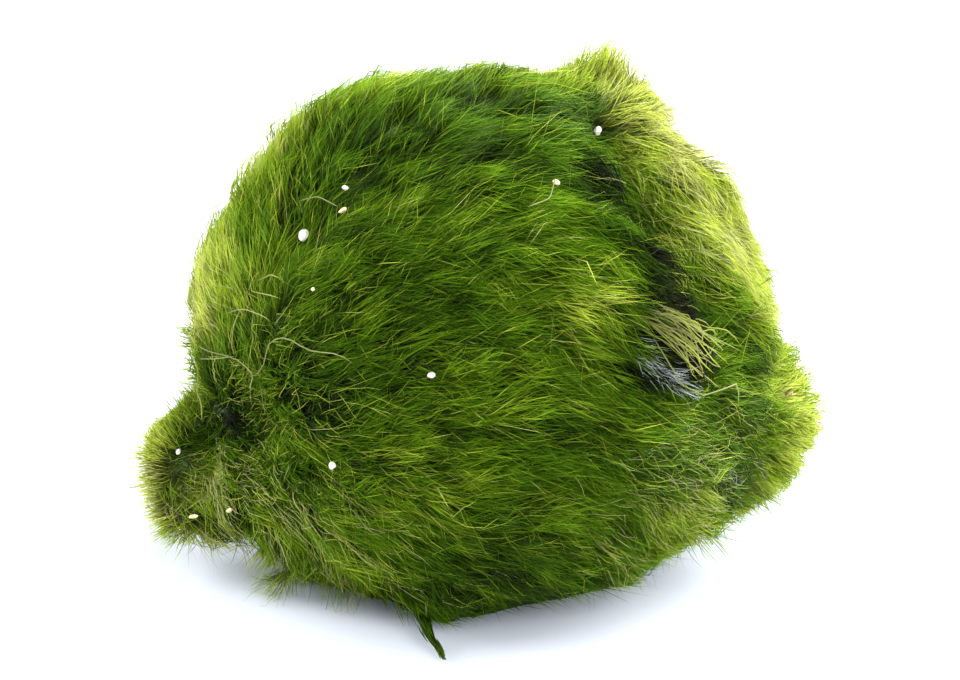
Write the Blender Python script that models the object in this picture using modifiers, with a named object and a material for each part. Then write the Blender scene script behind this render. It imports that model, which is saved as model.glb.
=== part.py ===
"""Marimo moss ball: a ball of filamentous green algae, out of the water and sagging on a small flat spot.

The ball grew as one piece, so it is one solid: its lumps, folds, locks, crown tuft, left lip and the wisp at its
foot are fused, and it reaches the tips of the coat. Metres, +Z up, and the front faces -Y.
Longitude is measured from the front towards +X, and latitude up from the ball's middle, both in degrees.
"""

import math

import bmesh
import bpy
import numpy as np
from mathutils import Matrix

MM = 0.001

# Driving dimensions
BALL_RADIUS = 21.1 * MM  # to the tips of the coat
BALL_MIDDLE = 15.8 * MM  # height of the ball's middle above the table
DEPTH_SHARE = 0.97  # the ball is a little shallower than it is wide
SAG = 3.4 * MM  # how softly the underside gives way to the table
SAG_SUNK = 0.66 * MM  # of the softened underside, below the table

# How finely the grown surface is made
BALL_SUBDIVISIONS = 6
FUSE_SIZE = 0.42 * MM
FUSE_SMOOTHING = 2
TRIANGLES = 9300

# Lumps, hollows, ridges and creases: (half width in degrees, sharpness of the edge, rise, line), where the
# line has (longitude, latitude) points, and one point alone makes a round lump
RELIEF = {
    "left_lip": (8.8, 4, 6.0 * MM, ((-88, -17), (-84, -28))),
    "left_lip_root": (12, 2, 1.9 * MM, ((-70, -26), (-62, -32))),
    "left_skirt": (7, 2, 1.4 * MM, ((-64, -44),)),
    "left_hollow": (10, 2, -1.7 * MM, ((-58, -5),)),
    "left_notch": (5, 2, -0.8 * MM, ((-94, -7), (-80, -9))),
    "left_band": (13, 2, 1.5 * MM, ((-88, 22), (-86, 2))),
    "left_shoulder": (20, 2, 1.6 * MM, ((-84, 46), (-88, 60))),
    "right_lobe": (13, 3, 3.0 * MM, ((86, -8), (84, -18))),
    "right_lobe_hollow": (5, 2, -1.7 * MM, ((86, 8), (74, 4))),
    "lower_right_tuck": (16, 2, -1.3 * MM, ((70, -44), (30, -46))),
    "crown": (24, 2, 0.8 * MM, ((-75, 64), (140, 68))),
    "crown_tuft": (7.5, 3, 2.3 * MM, ((124, 62),)),
    "front_bulge": (26, 3, 1.2 * MM, ((-10, 12), (26, 16))),
    "bulge_end": (9, 3, 1.0 * MM, ((36, 22), (38, 12))),
    "back_lump": (24, 2, 1.0 * MM, ((165, 10),)),
    "back_low_lump": (16, 2, 0.9 * MM, ((-140, -22),)),
    "crown_dip": (12, 2, -0.8 * MM, ((-150, 72),)),
    "long_crease": (5.0, 2, -3.0 * MM, ((70, 66), (54, 50), (51, 36), (53, 24), (52, 12))),
    "crease_hollow": (5.0, 3, -2.0 * MM, ((54, 28), (55, 18))),
    "crease_foot": (4.5, 2, -2.0 * MM, ((50, 10), (43, 5))),
    "right_ridge": (9.0, 2, 1.2 * MM, ((112, 58), (90, 50), (80, 42))),
    "right_ridge_foot": (8.0, 2, 0.3 * MM, ((78, 32), (75, 14))),
    "hood_groove": (5.5, 2, -1.3 * MM, ((-52, 42), (-22, 56), (22, 53), (46, 42))),
    "left_band_groove": (5.5, 2, -1.0 * MM, ((-56, 40), (-58, 22), (-58, 6))),
    "back_crease": (5.5, 2, -1.8 * MM, ((-165, 58), (-150, 30), (-152, 2), (-165, -18))),
    "back_side_fold": (6.0, 2, -1.4 * MM, ((122, 22), (128, 0), (122, -24))),
}

# How the coat is combed: (longitude, latitude, heading, lift). Heading 0 runs towards growing longitude and
# 90 up, and lift is the angle at which the locks stand off the surface, all in degrees
COMBED = (
    (-112, 52, 70, 16), (-80, 51, 75, 16), (-67, 62, 40, 12), (-19, 71, 18, 12), (48, 68, 0, 12),
    (-34, 36, 22, 10), (-8, 39, 4, 10), (18, 38, -20, 10), (36, 36, -48, 10), (48, 24, -60, 10),
    (-28, 21, 14, 10), (-4, 23, 0, 10), (17, 22, -8, 10), (32, 20, -20, 10),
    (-38, 5, 25, 10), (-16, 4, 8, 10), (4, 5, -2, 10), (24, 3, -8, 10),
    (-44, -10, 12, 12), (-27, -14, -4, 10), (-6, -12, -6, 10), (14, -12, -8, 10), (34, -11, -16, 10),
    (-50, -30, -125, 14), (-30, -32, -75, 12), (-10, -32, -30, 12), (8, -34, -20, 12), (28, -30, -28, 12),
    (46, -4, -24, 12), (66, -6, -10, 14), (86, -8, 0, 22), (88, -18, -20, 22), (54, -20, -30, 14), (78, -32, -45, 16),
    (84, 52, -15, 14), (76, 38, -32, 14), (69, 18, -40, 14), (60, 34, -60, 12), (62, 4, -30, 12),
    (-82, 37, 95, 14), (-78, 24, 95, 14), (-72, 9, 85, 14), (-62, 20, 70, 12), (-55, 33, 48, 12),
    (-84, -22, 180, 40), (-86, -12, 130, 36), (-80, -32, 215, 36), (-66, -18, 190, 20),
    (106, 42, 0, 16), (100, 10, -10, 16), (112, -20, -30, 14),
    (-108, 20, 110, 14), (-112, -8, 150, 14), (-108, -32, 220, 14),
    (140, 30, -15, 12), (140, 0, -20, 12), (140, -32, -35, 12), (170, 50, 0, 12), (170, 20, -8, 12),
    (172, -12, -20, 12), (172, -36, -40, 12), (-150, 50, 20, 12), (-150, 20, 10, 12), (-150, -10, -10, 12),
    (-145, -36, -60, 12), (-125, 35, 50, 14), (-128, 6, 40, 12),
)
COMB_REACH = 15  # degrees over which a stroke of the comb fades

# Streaks in the combed coat
STREAK_COUNT = 620
STREAK_RISE = 0.55 * MM
STREAK_LENGTH = 9.0  # degrees
STREAK_HALF_WIDTH = 2.9  # degrees
STREAK_SEED = 3

# The coat's locks
LOCK_COUNT = 80  # of which those above LOWEST_LOCK are kept
LOCK_LENGTH = 9.2 * MM
LOCK_HALF_WIDTH = 1.3 * MM
LOCK_LIFT_LIMIT = 9  # degrees, beyond which a common lock does not stand off the ball
LOCK_SUNK = 0.75 * MM  # of the root's axis, below the ball's surface
LOCK_POINTS = 7
LOCK_TIP_SHARE = 0.28  # of the half width that is left at the tip
LOWEST_LOCK = -44  # degrees of latitude, below which the coat is pressed on the table
LOCK_SEED = 7

# Tufts that stand out: (longitude, latitude, heading, lift, length, half width)
TUFTS = {
    "crown_tuft": (130, 66, 218, 22, 4.4 * MM, 1.4 * MM),
    "crown_tuft_side": (110, 60, 200, 20, 3.6 * MM, 1.2 * MM),
    "lip_top": (-90, -15, 165, 30, 3.8 * MM, 1.3 * MM),
    "lip_side": (-88, -21, 175, 60, 3.4 * MM, 1.3 * MM),
    "lip_foot": (-86, -27, 200, 50, 3.8 * MM, 1.3 * MM),
    "lip_root": (-72, -32, 190, 20, 4.4 * MM, 1.1 * MM),
    "skirt_left": (-58, -38, 222, 18, 5.4 * MM, 1.0 * MM),
    "skirt_front": (-36, -36, 268, 16, 4.8 * MM, 0.9 * MM),
    "lobe_top": (84, -8, 8, 26, 4.2 * MM, 1.1 * MM),
    "lobe_side": (86, -15, -5, 36, 4.0 * MM, 1.1 * MM),
    "lobe_foot": (84, -22, -25, 30, 4.0 * MM, 1.1 * MM),
    "straw_bundle": (42, 17, -32, 24, 7.0 * MM, 1.0 * MM),
}

# The wisp of filaments stuck together at the foot, which lies on the table: (x, y, height, half width)
WISP = (
    (-4.2 * MM, -9.5 * MM, 1.7 * MM, 1.4 * MM),
    (-4.0 * MM, -14.2 * MM, 1.25 * MM, 1.15 * MM),
    (-3.4 * MM, -17.4 * MM, 0.95 * MM, 0.85 * MM),
    (-2.8 * MM, -19.0 * MM, 0.75 * MM, 0.6 * MM),
    (-2.4 * MM, -20.3 * MM, 0.6 * MM, 0.34 * MM),
)

MOSS_GREEN = (0.105, 0.235, 0.022, 1.0)

TABLE_CUTTER = 200 * MM


def toward(longitude, latitude):
    """The unit vector from the ball's middle at this longitude and latitude."""
    lon, lat = math.radians(longitude), math.radians(latitude)
    return np.array((math.sin(lon) * math.cos(lat), -math.cos(lon) * math.cos(lat), math.sin(lat)))


def along(longitude, latitude, angle):
    """The direction along the surface there with this heading."""
    lon, turn = math.radians(longitude), math.radians(angle)
    sideways = np.array((math.cos(lon), math.sin(lon), 0.0))
    return sideways * math.cos(turn) + toward(longitude, latitude + 90) * math.sin(turn)


def unit(vectors):
    return vectors / np.linalg.norm(vectors, axis=-1, keepdims=True)


def angle_to_line(directions, line):
    """The smallest angle in degrees between each direction and a line of (longitude, latitude) points."""
    points = [toward(*place) for place in line]
    nearest = directions @ points[0]
    for start, end in zip(points, points[1:]):
        step = end - start
        share = np.clip((directions - start) @ step / (step @ step), 0, 1)
        on_line = unit(start + share[:, None] * step)
        nearest = np.maximum(nearest, (directions * on_line).sum(axis=1))
    return np.degrees(np.arccos(np.clip(nearest, -1, 1)))


STROKES = tuple((toward(lon, lat), along(lon, lat, turn), lift) for lon, lat, turn, lift in COMBED)
PLACES, HEADINGS, LIFTS = (np.array(column) for column in zip(*STROKES))


def combed(directions):
    """For each direction, the unit vector along the surface in which the coat is combed, and its lift."""
    away = np.degrees(np.arccos(np.clip(directions @ PLACES.T, -1, 1)))
    weights = np.exp(-((away / COMB_REACH) ** 2)) + 1e-4 * np.exp(-((away / (3 * COMB_REACH)) ** 2))
    heading = weights @ HEADINGS
    heading -= directions * (heading * directions).sum(axis=1)[:, None]
    return unit(heading), weights @ LIFTS / weights.sum(axis=1)


def spread_places(count):
    """Places spread evenly over the ball, as unit vectors."""
    order = np.arange(count)
    height = 1 - (2 * order + 1) / count
    turn = order * math.pi * (3 - math.sqrt(5))
    ring = np.sqrt(1 - height**2)
    return np.stack((np.cos(turn) * ring, np.sin(turn) * ring, height), axis=1)


def streaks(directions):
    """The rise of the combed coat's streaks, which run along the comb."""
    random = np.random.default_rng(STREAK_SEED)
    places = unit(spread_places(STREAK_COUNT) + random.uniform(-0.04, 0.04, (STREAK_COUNT, 3)))
    rises = random.uniform(-1, 1, STREAK_COUNT) * STREAK_RISE
    length, half_width = math.radians(STREAK_LENGTH), math.radians(STREAK_HALF_WIDTH)
    total = np.zeros(len(directions))
    for place, heading, rise in zip(places, combed(places)[0], rises):
        offset = directions - place
        ahead = offset @ heading
        aside = (offset**2).sum(axis=1) - ahead**2
        total += rise * np.exp(-((ahead / length) ** 2) - aside / half_width**2)
    return total


def surface(directions, streaked=True):
    """The points of the ball's surface in these directions, let down on the table so that the underside sags."""
    reach = np.full(len(directions), BALL_RADIUS)
    for half_width, sharpness, rise, line in RELIEF.values():
        reach += rise * np.exp(-((angle_to_line(directions, line) / half_width) ** sharpness))
    if streaked:
        reach += streaks(directions)
    points = directions * reach[:, None] * (1, DEPTH_SHARE, 1) + (0, 0, BALL_MIDDLE)
    points[:, 2] = 0.5 * (points[:, 2] + np.hypot(points[:, 2], SAG)) - SAG_SUNK
    return points


def mesh_of(bm, name):
    mesh = bpy.data.meshes.new(name)
    bm.to_mesh(mesh)
    bm.free()
    return mesh


def grown_ball():
    """The ball without its locks."""
    bm = bmesh.new()
    bmesh.ops.create_icosphere(bm, subdivisions=BALL_SUBDIVISIONS, radius=1.0)
    for vertex, point in zip(bm.verts, surface(unit(np.array([vertex.co for vertex in bm.verts])))):
        vertex.co = point
    return mesh_of(bm, "grown_ball")


def lock_route(direction, heading, lift, length):
    """The axis of a lock: from its sunken root it follows the comb, and its tip stands off the ball."""
    points = []
    stride = length / (LOCK_POINTS - 1)
    height = -LOCK_SUNK
    for _ in range(LOCK_POINTS):
        points.append(surface(direction[None], streaked=False)[0] + direction * height)
        follow = combed(direction[None])[0][0] if heading is None else heading
        direction = unit(direction + follow * math.cos(lift) * stride / BALL_RADIUS)
        height += math.sin(lift) * stride
    return points


def lock_half_widths(widest):
    """A lock is full at a third of its length and tapers to its tip."""
    shares = np.linspace(0, 1, LOCK_POINTS)
    return widest * np.interp(shares, (0, 0.33, 1), (0.7, 1, LOCK_TIP_SHARE))


def add_strand(curve, points, half_widths):
    """One more tapering strand on the curve, kept on or above the table."""
    spline = curve.splines.new("POLY")
    spline.points.add(len(points) - 1)
    for knot, point, half_width in zip(spline.points, points, half_widths):
        knot.co = (point[0], point[1], max(point[2], half_width * 0.9), 1.0)
        knot.radius = half_width / LOCK_HALF_WIDTH


def coat_locks():
    """All locks, the tufts that stand out and the wisp at the foot, as one mesh of tapering strands."""
    random = np.random.default_rng(LOCK_SEED)
    curve = bpy.data.curves.new("coat_locks", "CURVE")
    curve.dimensions = "3D"
    curve.bevel_depth = LOCK_HALF_WIDTH
    curve.bevel_resolution = 1
    curve.use_fill_caps = True
    starts = unit(spread_places(LOCK_COUNT) + random.uniform(-0.07, 0.07, (LOCK_COUNT, 3)))
    sizes = random.uniform(0.75, 1.25, LOCK_COUNT)
    for start, size, lift in zip(starts, sizes, combed(starts)[1]):
        if start[2] > math.sin(math.radians(LOWEST_LOCK)):
            route = lock_route(start, None, math.radians(min(lift, LOCK_LIFT_LIMIT)), LOCK_LENGTH * size)
            add_strand(curve, route, lock_half_widths(LOCK_HALF_WIDTH * size))
    for longitude, latitude, turn, lift, length, half_width in TUFTS.values():
        heading = along(longitude, latitude, turn)
        route = lock_route(toward(longitude, latitude), heading, math.radians(lift), length)
        add_strand(curve, route, lock_half_widths(half_width))
    add_strand(curve, [knot[:3] for knot in WISP], [knot[3] for knot in WISP])
    strands = bpy.data.objects.new("coat_locks", curve)
    bpy.context.scene.collection.objects.link(strands)
    mesh = evaluated(strands)
    bpy.data.objects.remove(strands)
    return mesh


def evaluated(thing):
    """The mesh of an object with its modifiers, as it is now."""
    bpy.context.view_layer.update()
    return bpy.data.meshes.new_from_object(thing.evaluated_get(bpy.context.evaluated_depsgraph_get()))


def moss_material():
    material = bpy.data.materials.new("moss")
    material.use_nodes = True
    shader = material.node_tree.nodes["Principled BSDF"]
    shader.inputs["Base Color"].default_value = MOSS_GREEN
    shader.inputs["Roughness"].default_value = 0.85
    return material


def table_cutter(collection):
    """Everything below the table. Cutting it off leaves the ball its flat spot."""
    bm = bmesh.new()
    bmesh.ops.create_cube(bm, size=TABLE_CUTTER)
    bmesh.ops.translate(bm, verts=bm.verts, vec=(0, 0, -TABLE_CUTTER / 2))
    cutter = bpy.data.objects.new("table_cutter", mesh_of(bm, "table_cutter"))
    cutter.hide_render = True
    cutter.display_type = "WIRE"
    collection.objects.link(cutter)
    return cutter


def moss_ball(collection, cutter):
    """The whole ball: surface and locks fused, thinned to few faces, cut flat where it rests, and centred."""
    bm = bmesh.new()
    for grown in (grown_ball(), coat_locks()):
        bm.from_mesh(grown)
    ball = bpy.data.objects.new("moss_ball", mesh_of(bm, "moss_ball"))
    collection.objects.link(ball)
    fuse = ball.modifiers.new("fuse", "REMESH")
    fuse.mode = "VOXEL"
    fuse.voxel_size = FUSE_SIZE
    soften = ball.modifiers.new("soften", "SMOOTH")
    soften.iterations = FUSE_SMOOTHING
    fused = sum(len(face.vertices) - 2 for face in evaluated(ball).polygons)
    thin = ball.modifiers.new("thin", "DECIMATE")
    thin.ratio = TRIANGLES / fused
    flat = ball.modifiers.new("flat_spot", "BOOLEAN")
    flat.operation = "DIFFERENCE"
    flat.object = cutter
    mesh = evaluated(ball)
    ball.modifiers.clear()
    ball.data = mesh
    corners = np.array([vertex.co for vertex in mesh.vertices])
    middle = (corners.min(axis=0) + corners.max(axis=0)) / 2
    mesh.transform(Matrix.Translation((-middle[0], -middle[1], 0)))
    mesh.materials.clear()
    mesh.materials.append(moss_material())
    return ball


def main():
    for old in list(bpy.data.objects):
        bpy.data.objects.remove(old)
    parts = bpy.data.collections.new("marimo_moss_ball")
    cutters = bpy.data.collections.new("cutters")
    for collection in (parts, cutters):
        bpy.context.scene.collection.children.link(collection)
    moss_ball(parts, table_cutter(cutters))


main()
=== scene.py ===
"""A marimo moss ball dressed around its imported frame: dark packed filaments, a combed coat of longer ones,
and what is caught in it. Lengths are in metres, +Z is up, and the front faces -Y. Run as a script, it
builds every piece."""

import math

import bmesh
import bpy
import numpy as np
from mathutils import Matrix, Vector, noise
from mathutils.bvhtree import BVHTree


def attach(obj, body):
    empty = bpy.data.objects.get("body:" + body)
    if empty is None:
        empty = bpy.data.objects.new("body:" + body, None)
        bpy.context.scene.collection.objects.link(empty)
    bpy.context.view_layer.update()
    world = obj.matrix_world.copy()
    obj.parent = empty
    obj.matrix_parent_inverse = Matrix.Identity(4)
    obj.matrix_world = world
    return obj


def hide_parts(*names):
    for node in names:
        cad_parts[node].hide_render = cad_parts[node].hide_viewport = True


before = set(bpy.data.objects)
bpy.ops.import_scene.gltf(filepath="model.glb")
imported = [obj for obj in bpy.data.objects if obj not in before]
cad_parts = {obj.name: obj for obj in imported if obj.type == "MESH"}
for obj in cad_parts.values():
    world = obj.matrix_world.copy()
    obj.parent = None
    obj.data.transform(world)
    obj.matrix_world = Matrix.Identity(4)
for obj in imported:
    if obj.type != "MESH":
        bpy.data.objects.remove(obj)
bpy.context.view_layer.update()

bl_info = {
    "name": "Marimo Moss Ball",
    "version": (1, 0, 0),
    "blender": (4, 5, 0),
    "location": "3D View > Sidebar > Moss Ball",
    "description": "Dresses a moss ball's frame with its coat of filaments and the grains caught in it",
    "category": "Object",
}

MM = 0.001
BALL = "moss_ball"
BODY = "root"
BALL_MIDDLE = np.array((1.105, 0.062, 15.8)) * MM
FOOT_RADIUS = 20.8 * MM  # of the ball near the table, without its wisp
OUTSIDE = 60 * MM  # from the middle, beyond every part of the ball
LOW_DOWN = 4 * MM  # the height under which the coat is pressed flat by the table
DEEPEST_COAT = 3.4 * MM
DEEPEST_LOW_COAT = 1.5 * MM
OFF_FLOOR = 0.02 * MM
STRAY_SHARE = 0.05  # of the filaments that leave their lock
HOLLOW_SHRINK = 0.45  # of a filament's length in a hollow
TONE_LIMIT = 0.88  # past which the palette is straw and no longer green
PALE_LIMIT = 0.9
CROWN_LATITUDE = 38  # degrees, where the crown's patch of the coat starts
SECTOR = 72  # degrees, the width of each other patch
TUFT_SPREAD = 8  # pixels
TUFT_ROOT = 0.9 * MM  # how deep a standing tuft is rooted
GRAIN_RISE = 0.25 * MM  # of a grain's middle above the solid ball
STRAND_UV = "OFBake"  # u is the strand's place in the palette, v runs from its root to its tip

# The photograph's camera, in millimetres and pixels
PHOTO_SIZE = (960, 680)
VIEW_ELEVATION = 17
CAMERA_LENS = 85
CAMERA_SENSOR = 36
CAMERA_DISTANCE = 170 * MM
AIM = Vector((0, 0, 15.6 * MM))
AIM_PIXEL = (480, 359)

# The comb on the side that the photograph shows: (x, y, angle, lift), a place in its pixels, the way the
# strands lie there in degrees turned left from rightwards, and how far they stand off the ball in degrees
FRONT_COMB = (
    (300, 110, 55, 28), (350, 90, 45, 26), (430, 78, 30, 26), (520, 70, 25, 26), (580, 62, 60, 42),
    (610, 60, 80, 50), (190, 390, 95, 26), (200, 330, 95, 26), (215, 270, 92, 26), (235, 220, 85, 26),
    (240, 300, 80, 22), (265, 160, 70, 24), (330, 150, 45, 18), (400, 120, 30, 18), (480, 110, 15, 18),
    (540, 110, 5, 18), (570, 130, -15, 16), (350, 200, 30, 16), (420, 160, 15, 16), (500, 165, 5, 16),
    (550, 190, -15, 16), (600, 200, -40, 16), (300, 260, 30, 16), (350, 270, 18, 14), (420, 240, 4, 14),
    (480, 240, -6, 14), (540, 250, -16, 14), (600, 260, -34, 14), (640, 290, -44, 16), (350, 330, 22, 14),
    (430, 330, 2, 14), (500, 330, -12, 14), (560, 330, -18, 14), (620, 340, -30, 14), (230, 400, 15, 18),
    (280, 380, 20, 18), (300, 420, 25, 18), (350, 430, 15, 16), (235, 505, -10, 20), (250, 460, -12, 18),
    (270, 505, -18, 18), (285, 455, -5, 18), (310, 520, -28, 18), (300, 480, 0, 16), (360, 490, -8, 16),
    (370, 530, -20, 16), (440, 480, 5, 14), (440, 540, -6, 14), (520, 470, 0, 14), (600, 450, -8, 14),
    (430, 400, 8, 14), (510, 400, -6, 14), (660, 430, -15, 14), (700, 430, -20, 16), (740, 450, -25, 20),
    (700, 490, -30, 18), (640, 95, 10, 24), (665, 115, -20, 24), (685, 160, -36, 20), (712, 210, -44, 20),
    (740, 260, -46, 22), (762, 310, -48, 24), (690, 240, -56, 18), (650, 180, -58, 16), (645, 140, -40, 18),
    (620, 170, -60, 14), (650, 230, -50, 14), (690, 290, -40, 16), (700, 330, -35, 16), (740, 400, -5, 26),
    (790, 380, 15, 36), (800, 420, -5, 38), (795, 460, -25, 36), (760, 470, -25, 28), (230, 530, -20, 22),
    (268, 572, -115, 26), (300, 575, -95, 26), (335, 580, -75, 24), (400, 580, -30, 20),
    (470, 590, -10, 18), (540, 590, -10, 18), (600, 575, -15, 20), (650, 550, -25, 22), (700, 520, -30, 24),
)
# The comb at the lip on the left, which is short and turns at once
LIP_COMB = (
    (158, 437, 125, 44), (146, 450, 150, 48), (138, 470, 175, 50), (137, 492, 185, 50), (146, 515, 205, 48),
    (165, 532, 220, 40), (190, 534, 228, 30), (185, 418, 95, 26), (200, 432, -40, 24), (176, 446, -30, 28),
    (164, 462, -14, 30), (162, 482, -6, 30), (168, 502, -10, 28), (184, 515, -14, 24), (190, 470, -12, 24),
    (190, 492, -8, 22), (215, 450, -22, 22), (215, 480, -15, 22), (215, 505, -8, 20),
)
# The comb on the sides that the photograph does not show: (longitude, latitude, heading, lift) in degrees,
# from the front (0, 0) with longitude to the right; heading 0 points to greater longitude and 90 up
BACK_COMB = (
    (106, 42, 0, 22), (100, 10, -10, 24), (112, -20, -30, 22), (122, 62, 30, 22), (-108, 20, 110, 22),
    (-112, -8, 150, 22), (-108, -32, 220, 20), (-112, 52, 70, 22), (140, 30, -15, 20), (140, 0, -20, 20),
    (140, -32, -35, 18), (170, 50, 0, 20), (170, 20, -8, 20), (172, -12, -20, 18), (172, -36, -40, 18),
    (-150, 50, 20, 20), (-150, 20, 10, 20), (-150, -10, -10, 18), (-145, -36, -60, 18), (-125, 35, 50, 20),
    (-128, 6, 40, 20), (0, -60, 0, 5), (60, -60, -30, 5), (120, -60, -30, 5), (180, -60, -20, 5),
    (-120, -60, 200, 5), (-60, -60, 200, 5),
)
COMB_REACH = 3.8 * MM  # over which a stroke of the comb fades
LIP_REACH = 1.9 * MM

# How green the coat is: (x, y, reach, tone), in the photograph's pixels and degrees; tone 0 is the palette's
# start. The pale lime tones along the left band, the lip, the crown, the right ridge and the right lobe are
# painted glow of light through the rims, over the moss's own paler tips; the coat is darker along the crease
FRONT_TONES = (
    (186, 390, 7, 0.74), (192, 320, 7, 0.8), (205, 260, 7, 0.8), (228, 200, 7, 0.82), (252, 158, 7, 0.74),
    (300, 100, 8, 0.52), (380, 78, 6, 0.56), (440, 70, 6, 0.56), (500, 68, 6, 0.54), (560, 68, 6, 0.6),
    (590, 60, 6, 0.72), (615, 60, 6, 0.8), (665, 120, 7, 0.86), (705, 170, 7, 0.88), (725, 215, 6, 0.88),
    (745, 255, 5, 0.86), (768, 305, 5, 0.74), (778, 335, 4, 0.66), (802, 400, 5, 0.78), (800, 450, 5, 0.74),
    (780, 420, 5, 0.52), (788, 360, 4, 0.62), (588, 100, 3, 0.26), (600, 128, 4, 0.25), (611, 160, 4, 0.29),
    (622, 190, 4, 0.3), (636, 220, 4, 0.26), (648, 242, 4, 0.21), (660, 262, 4, 0.14), (674, 280, 4, 0.08),
    (690, 298, 4, 0.05), (706, 316, 4, 0.06), (672, 302, 4, 0.08), (690, 322, 4, 0.08), (702, 338, 4, 0.1),
    (642, 142, 3, 0.62), (652, 170, 4, 0.58), (664, 200, 4, 0.5), (686, 236, 3, 0.44), (704, 258, 3, 0.4),
    (722, 288, 3, 0.46), (732, 318, 3, 0.5), (684, 150, 5, 0.84), (694, 196, 4, 0.8), (655, 104, 5, 0.9),
    (632, 90, 4, 0.88), (668, 130, 5, 0.9), (640, 118, 3, 0.82), (575, 150, 4, 0.4), (600, 210, 4, 0.46),
    (622, 250, 4, 0.5), (330, 146, 8, 0.38), (400, 118, 7, 0.36), (460, 112, 7, 0.36), (530, 116, 7, 0.4),
    (436, 150, 4, 0.3), (499, 145, 4, 0.3), (350, 230, 9, 0.43), (430, 230, 9, 0.48), (520, 230, 9, 0.5),
    (400, 300, 9, 0.4), (480, 310, 9, 0.45), (548, 292, 6, 0.52), (600, 290, 6, 0.52), (280, 300, 8, 0.42),
    (262, 240, 8, 0.48), (290, 180, 8, 0.44), (215, 420, 5, 0.36), (250, 380, 6, 0.46), (350, 390, 9, 0.38),
    (440, 400, 9, 0.41), (540, 380, 9, 0.46), (300, 480, 7, 0.45), (380, 490, 8, 0.46), (450, 478, 8, 0.52),
    (560, 480, 8, 0.42), (630, 480, 8, 0.43), (700, 440, 7, 0.34), (740, 460, 6, 0.26), (704, 356, 4, 0.14),
    (660, 365, 4, 0.26), (740, 390, 6, 0.4), (767, 360, 3, 0.12), (660, 410, 6, 0.44), (400, 560, 8, 0.38),
    (490, 545, 7, 0.28), (500, 585, 8, 0.28), (600, 560, 8, 0.44), (680, 520, 7, 0.64), (300, 560, 7, 0.54),
    (600, 350, 6, 0.62), (590, 310, 6, 0.58), (540, 330, 6, 0.48), (144, 450, 4, 0.9), (140, 475, 5, 0.9),
    (141, 500, 5, 0.9), (158, 527, 4, 0.84), (176, 446, 3, 0.36), (168, 470, 3, 0.54), (190, 480, 4, 0.56),
    (200, 502, 3, 0.6), (188, 425, 3, 0.34), (215, 515, 3, 0.3), (240, 490, 4, 0.54), (245, 450, 4, 0.5),
    (212, 440, 3, 0.3), (205, 395, 4, 0.34), (226, 520, 3, 0.3),
)
# Round the back: (longitude, latitude, reach, tone) in degrees; the coat is darker towards the bottom
BACK_TONES = (
    (110, 45, 18, 0.74), (112, 5, 18, 0.7), (115, -30, 16, 0.48), (150, 40, 22, 0.56), (150, 0, 22, 0.46),
    (-170, 30, 22, 0.48), (-170, -10, 22, 0.4), (-130, 40, 20, 0.56), (-130, 0, 20, 0.5),
    (-120, -30, 18, 0.46), (0, -60, 20, 0.28), (180, -45, 25, 0.3), (-95, 30, 14, 0.66),
)

# Hollows where the coat lies low, and where painted shade darkens it: (x, y, reach), in the photograph's
# pixels and degrees
HOLLOWS = (
    (356, 133, 2.4), (340, 187, 2.0), (455, 150, 3.0), (485, 146, 3.0), (585, 112, 3.2), (600, 138, 3.2),
    (541, 160, 2.4), (572, 180, 2.4), (594, 201, 2.6), (612, 165, 3.0), (626, 196, 3.0), (642, 226, 3.0),
    (657, 254, 3.2), (674, 274, 4.4), (690, 294, 5.0), (708, 316, 4.4), (652, 330, 2.0), (215, 420, 4.0),
    (180, 445, 2.0), (767, 358, 2.8), (698, 369, 3.0), (430, 300, 1.8), (380, 345, 1.8), (500, 395, 1.8),
    (440, 440, 1.8), (560, 430, 1.8), (300, 410, 2.2), (222, 512, 2.6), (745, 465, 2.6), (650, 455, 2.2),
)

# The palette of the filaments: (place, colour). The bluish white at its end is a painted reflection of the sky
# on wet filaments.
PALETTE = (
    (0.00, "#241d0c"), (0.13, "#2c351c"), (0.27, "#43660e"), (0.42, "#66960e"), (0.56, "#90b81c"),
    (0.70, "#c0d83a"), (0.84, "#eaf26c"), (0.93, "#dfe0a8"), (1.00, "#e2ecf6"),
)
# Painted shade along each strand, from its root (0) to its tip (1): darker towards the root, where the coat
# shades itself; the lighter tips are partly the alga's own colour
STRAND_SHADE = ((0.0, "#6c6c6c"), (0.35, "#a8a8a8"), (0.75, "#f2f2f2"), (1.0, "#ffffff"))

# Where longer filaments lie loose on the coat: (x, y, spread, tone, filaments), in the photograph's pixels
LOOSE = (
    (230, 400, 24, 0.82, 100), (285, 400, 30, 0.76, 60), (330, 440, 34, 0.76, 40), (260, 340, 30, 0.74, 40),
    (215, 490, 22, 0.9, 150), (270, 510, 28, 0.9, 150), (300, 560, 24, 0.88, 140), (350, 560, 26, 0.84, 90),
    (195, 475, 14, 0.9, 110), (400, 500, 40, 0.74, 50), (450, 560, 40, 0.7, 40), (520, 500, 46, 0.66, 40),
    (620, 530, 32, 0.9, 130), (680, 505, 30, 0.92, 190), (725, 455, 26, 0.9, 120), (740, 420, 24, 0.78, 50),
    # The pale strands at (703, 215) and (714, 231) are a painted highlight on the ridge
    (670, 430, 30, 0.74, 60), (640, 150, 18, 0.86, 60), (660, 200, 22, 0.84, 60), (703, 215, 7, 0.92, 40),
    (714, 231, 8, 0.92, 40), (690, 260, 18, 0.78, 50), (400, 400, 40, 0.62, 30), (340, 300, 40, 0.6, 30),
)
LOOSE_EVERYWHERE = 400

# Short wet filaments coloured bluish white, a painted reflection of the sky on them: (x, y, spread,
# filaments), in the photograph's pixels
PAINTED_GLINTS = (
    (636, 342, 5, 16), (648, 354, 6, 34), (660, 366, 6, 44), (674, 378, 6, 40), (690, 388, 5, 20),
    (734, 475, 6, 14), (762, 468, 5, 12), (650, 453, 5, 12),
)

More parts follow.
